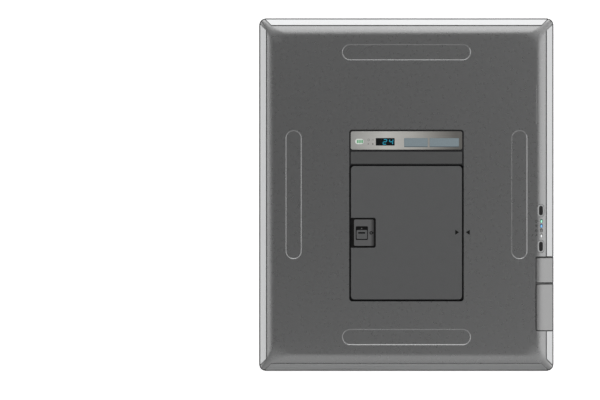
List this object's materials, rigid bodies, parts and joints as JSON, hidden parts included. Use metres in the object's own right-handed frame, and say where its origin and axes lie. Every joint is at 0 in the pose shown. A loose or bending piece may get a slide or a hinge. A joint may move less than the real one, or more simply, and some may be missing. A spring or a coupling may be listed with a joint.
{
  "type": "flat panel x-ray detector",
  "caption": "Thin wireless flat panel x-ray detector with a finger grip recess on each side, a removable latched battery pack, a small display, edge buttons, status lights and a cable flap.",
  "frame": {"origin": "middle of the imaging face, on the surface the detector lies on", "axes": "+X towards the buttons and the cable flap, +Y along the longer side towards the display end, +Z from the imaging face up through the back"},
  "size_m": [0.384, 0.46, 0.015],
  "materials": {
    "shell_paint": "satin dark grey coat on magnesium alloy",
    "trim_metal": "satin silver",
    "front_carbon": "carbon fibre laminate, satin",
    "frame_paint": "satin dark grey",
    "seal_rubber": "soft, matt",
    "screw_steel": "turned",
    "cushion_foam": "foam sheet",
    "sensor_glass": "thin glass with a sensor coat",
    "scintillator_layer": "white layer",
    "shield_sheet": "rolled lead alloy sheet",
    "base_alloy": "machined",
    "flex_film": "polyimide film",
    "circuit_board": "solder mask",
    "chip_black": "moulded",
    "can_steel": "tinned sheet",
    "display_plate": "brushed silver",
    "window_black": "clear hard coat over black",
    "gauge_white": "smoked clear plastic",
    "label_grey": "bare writing label",
    "strip_grey": "satin",
    "bay_black": "moulded",
    "contact_gold": "gold plated",
    "pack_grey": "satin moulded",
    "cell_foil": "foil pouch cells",
    "latch_grey": "satin moulded",
    "lock_grey": "satin moulded",
    "button_black": "satin rubber",
    "lens_green": "lit light pipe",
    "lens_blue": "lit light pipe",
    "lens_off": "unlit light pipe",
    "lens_white": "lit light pipe",
    "flap_grey": "satin moulded"
  },
  "bodies": {
    "housing": {"rear_shell": "shell_paint", "front_panel": "front_carbon", "front_frame": "frame_paint", "housing_seal": "seal_rubber", "edge_trim_top": "trim_metal", "edge_trim_bottom": "trim_metal", "edge_trim_left": "trim_metal", "edge_trim_right_upper": "trim_metal", "edge_trim_right_lower": "trim_metal", "housing_screws": "screw_steel", "panel_cushion": "cushion_foam", "sensor_panel": "sensor_glass", "scintillator": "scintillator_layer", "stack_cushion": "cushion_foam", "xray_shield": "shield_sheet", "base_plate": "base_alloy", "gate_flex": "flex_film", "gate_driver_board": "circuit_board", "readout_flex": "flex_film", "readout_board": "circuit_board", "main_board": "circuit_board", "main_board_chips": "chip_black", "board_shield_can": "can_steel", "power_board": "circuit_board", "wireless_module": "circuit_board", "antennas": "circuit_board", "display_board": "circuit_board", "seven_segment_display": "chip_black", "battery_level_leds": "lens_green", "display_bezel": "display_plate", "display_window": "window_black", "battery_window": "gauge_white", "memo_label_left": "label_grey", "memo_label_right": "label_grey", "bay_cover_strip": "strip_grey", "battery_bay": "bay_black", "battery_contacts": "contact_gold", "switch_board": "circuit_board", "status_lens_1": "lens_green", "status_lens_2": "lens_blue", "status_lens_3": "lens_off", "status_lens_4": "lens_white", "flap_hinge_pin": "screw_steel", "flap_bracket": "base_alloy", "cable_socket": "bay_black", "socket_pins": "contact_gold", "antenna_cover": "flap_grey"},
    "battery_pack": {"battery_case": "pack_grey", "battery_cover": "pack_grey", "battery_cells": "cell_foil", "protection_board": "circuit_board", "battery_terminal_pads": "contact_gold"},
    "battery_latch": {"latch_plate": "latch_grey", "latch_bolt": "bay_black"},
    "lock_slider": {"lock_slider": "lock_grey"},
    "power_button": {"power_button": "button_black"},
    "status_button": {"status_button": "button_black"},
    "connector_flap": {"connector_flap": "flap_grey"}
  },
  "joints": [
    {"name": "battery_pack_tilt", "type": "hinge", "parent": "housing", "child": "battery_pack", "pos_m": [0.0735, -0.049, 0.0124], "axis": [0, 1, 0], "range_deg": [0, 38]},
    {"name": "battery_latch_slide", "type": "slide", "parent": "battery_pack", "child": "battery_latch", "axis": [-1, 0, 0], "range_m": [0, 0.005]},
    {"name": "lock_slider_slide", "type": "slide", "parent": "battery_latch", "child": "lock_slider", "axis": [0, 1, 0], "range_m": [0, 0.004]},
    {"name": "power_button_press", "type": "slide", "parent": "housing", "child": "power_button", "axis": [0, 0, -1], "range_m": [0, 0.0006], "stiffness_N_per_m": 400},
    {"name": "status_button_press", "type": "slide", "parent": "housing", "child": "status_button", "axis": [0, 0, -1], "range_m": [0, 0.0006], "stiffness_N_per_m": 400},
    {"name": "connector_flap_hinge", "type": "hinge", "parent": "housing", "child": "connector_flap", "pos_m": [0.1709, -0.09845, 0.0128], "axis": [0, -1, 0], "range_deg": [0, 100]}
  ]
}
